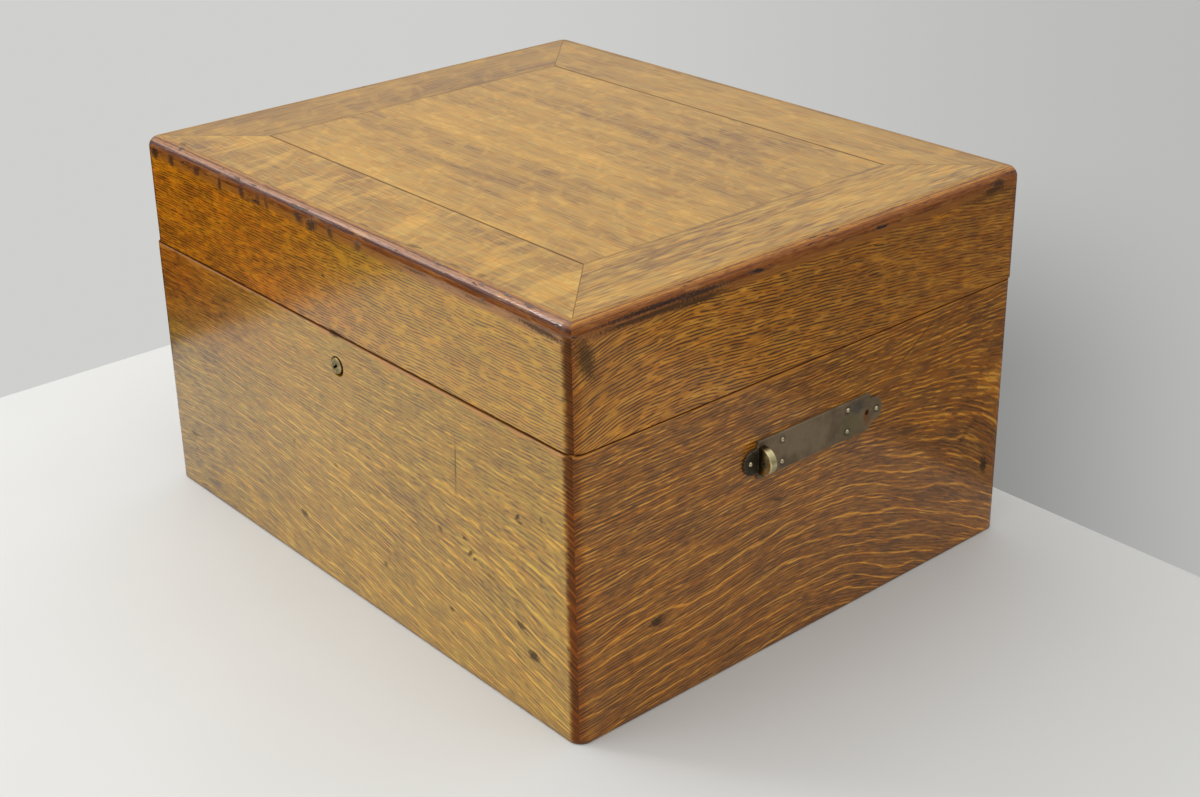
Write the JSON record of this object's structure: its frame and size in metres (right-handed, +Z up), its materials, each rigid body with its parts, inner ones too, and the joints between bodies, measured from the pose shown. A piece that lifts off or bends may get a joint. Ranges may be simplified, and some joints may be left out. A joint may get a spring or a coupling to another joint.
{
  "type": "silverware chest",
  "caption": "Oak silverware chest with a deep hinged lid, box lock, brass side handles and a lift-out tray over a lined well.",
  "frame": {"origin": "middle of the case's underside, on the surface that the chest stands on", "axes": "+X along the front to the right, +Y to the back, +Z up"},
  "size_m": [0.5352, 0.4318, 0.292],
  "materials": {
    "oak_case": "quarter-sawn oak, satin shellac",
    "oak_lid": "quarter-sawn oak, satin shellac",
    "oak_edging": "reddish brown, rubbed glossy",
    "oak_inside": "plain oak, thin varnish",
    "bottom_board": "plain board, raw",
    "baize": "deep green baize",
    "velvet": "deep green velvet over padding",
    "leather_tab": "brown strap leather",
    "brass": "aged brass",
    "dark_brass": "brass with a dark brown patina",
    "lock_brass": "brushed brass",
    "screw_brass": "dull brass",
    "screw_steel": "dull steel"
  },
  "bodies": {
    "case": {"case_front_board": "oak_case", "case_back_board": "oak_case", "case_left_board": "oak_case", "case_right_board": "oak_case", "case_mitre_tongues": "oak_inside", "bottom_panel": "bottom_board", "bottom_screws": "screw_steel", "tray_bearer_left": "oak_inside", "tray_bearer_right": "oak_inside", "well_lining": "baize", "well_divider_long": "oak_inside", "well_divider_cross": "oak_inside", "lock_plate": "lock_brass", "lock_cap": "lock_brass", "lock_nozzle": "brass", "lock_screws": "screw_brass", "left_hinge_case_leaf": "brass", "right_hinge_case_leaf": "brass", "hinge_pins": "brass", "hinge_case_screws": "screw_brass", "handle_pins": "screw_brass", "right_handle_plate": "dark_brass", "right_handle_lug": "dark_brass", "left_handle_plate": "dark_brass", "left_handle_front_lug": "dark_brass", "left_handle_rear_lug": "dark_brass"},
    "lid": {"lid_front_rail": "oak_lid", "lid_back_rail": "oak_lid", "lid_left_rail": "oak_lid", "lid_right_rail": "oak_lid", "lid_mitre_tongues": "oak_inside", "lid_border_front": "oak_lid", "lid_border_back": "oak_lid", "lid_border_left": "oak_lid", "lid_border_right": "oak_lid", "lid_centre_panel": "oak_lid", "lid_edging_front": "oak_edging", "lid_edging_back": "oak_edging", "lid_edging_left": "oak_edging", "lid_edging_right": "oak_edging", "lid_lining": "velvet", "lock_link_plate": "lock_brass", "left_hinge_lid_leaf": "brass", "right_hinge_lid_leaf": "brass", "lid_screws": "screw_brass"},
    "tray": {"tray_front_board": "oak_inside", "tray_back_board": "oak_inside", "tray_left_board": "oak_inside", "tray_right_board": "oak_inside", "tray_bottom": "oak_inside", "tray_long_divider": "oak_inside", "tray_cross_dividers": "oak_inside", "tray_lining": "baize", "tray_rests": "velvet", "tray_lift_tabs": "leather_tab"},
    "lock_plug": {"lock_plug": "lock_brass", "lock_cam": "lock_brass"},
    "lock_bolt": {"lock_bolt": "lock_brass"},
    "left_bail": {"left_handle_bail": "dark_brass"}
  },
  "joints": [
    {"name": "lid_hinge", "type": "hinge", "parent": "case", "child": "lid", "pos_m": [0, 0.2158, 0.207], "axis": [-1, 0, 0], "range_deg": [0, 95]},
    {"name": "tray_lift", "type": "slide", "parent": "case", "child": "tray", "axis": [0, 0, 1], "range_m": [0, 0.056]},
    {"name": "lock_turn", "type": "hinge", "parent": "case", "child": "lock_plug", "pos_m": [0, -0.211, 0.183], "axis": [0, 1, 0], "range_deg": [0, 60]},
    {"name": "bolt_slide", "type": "slide", "parent": "case", "child": "lock_bolt", "axis": [1, 0, 0], "range_m": [0, 0.0065]},
    {"name": "left_bail_swing", "type": "hinge", "parent": "case", "child": "left_bail", "pos_m": [-0.2614, 0, 0.15], "axis": [0, 1, 0], "range_deg": [-6, 180]}
  ],
  "couplings": [
    {"joint": "lock_turn", "follows": "bolt_slide", "rad_per_m": 161.11}
  ]
}
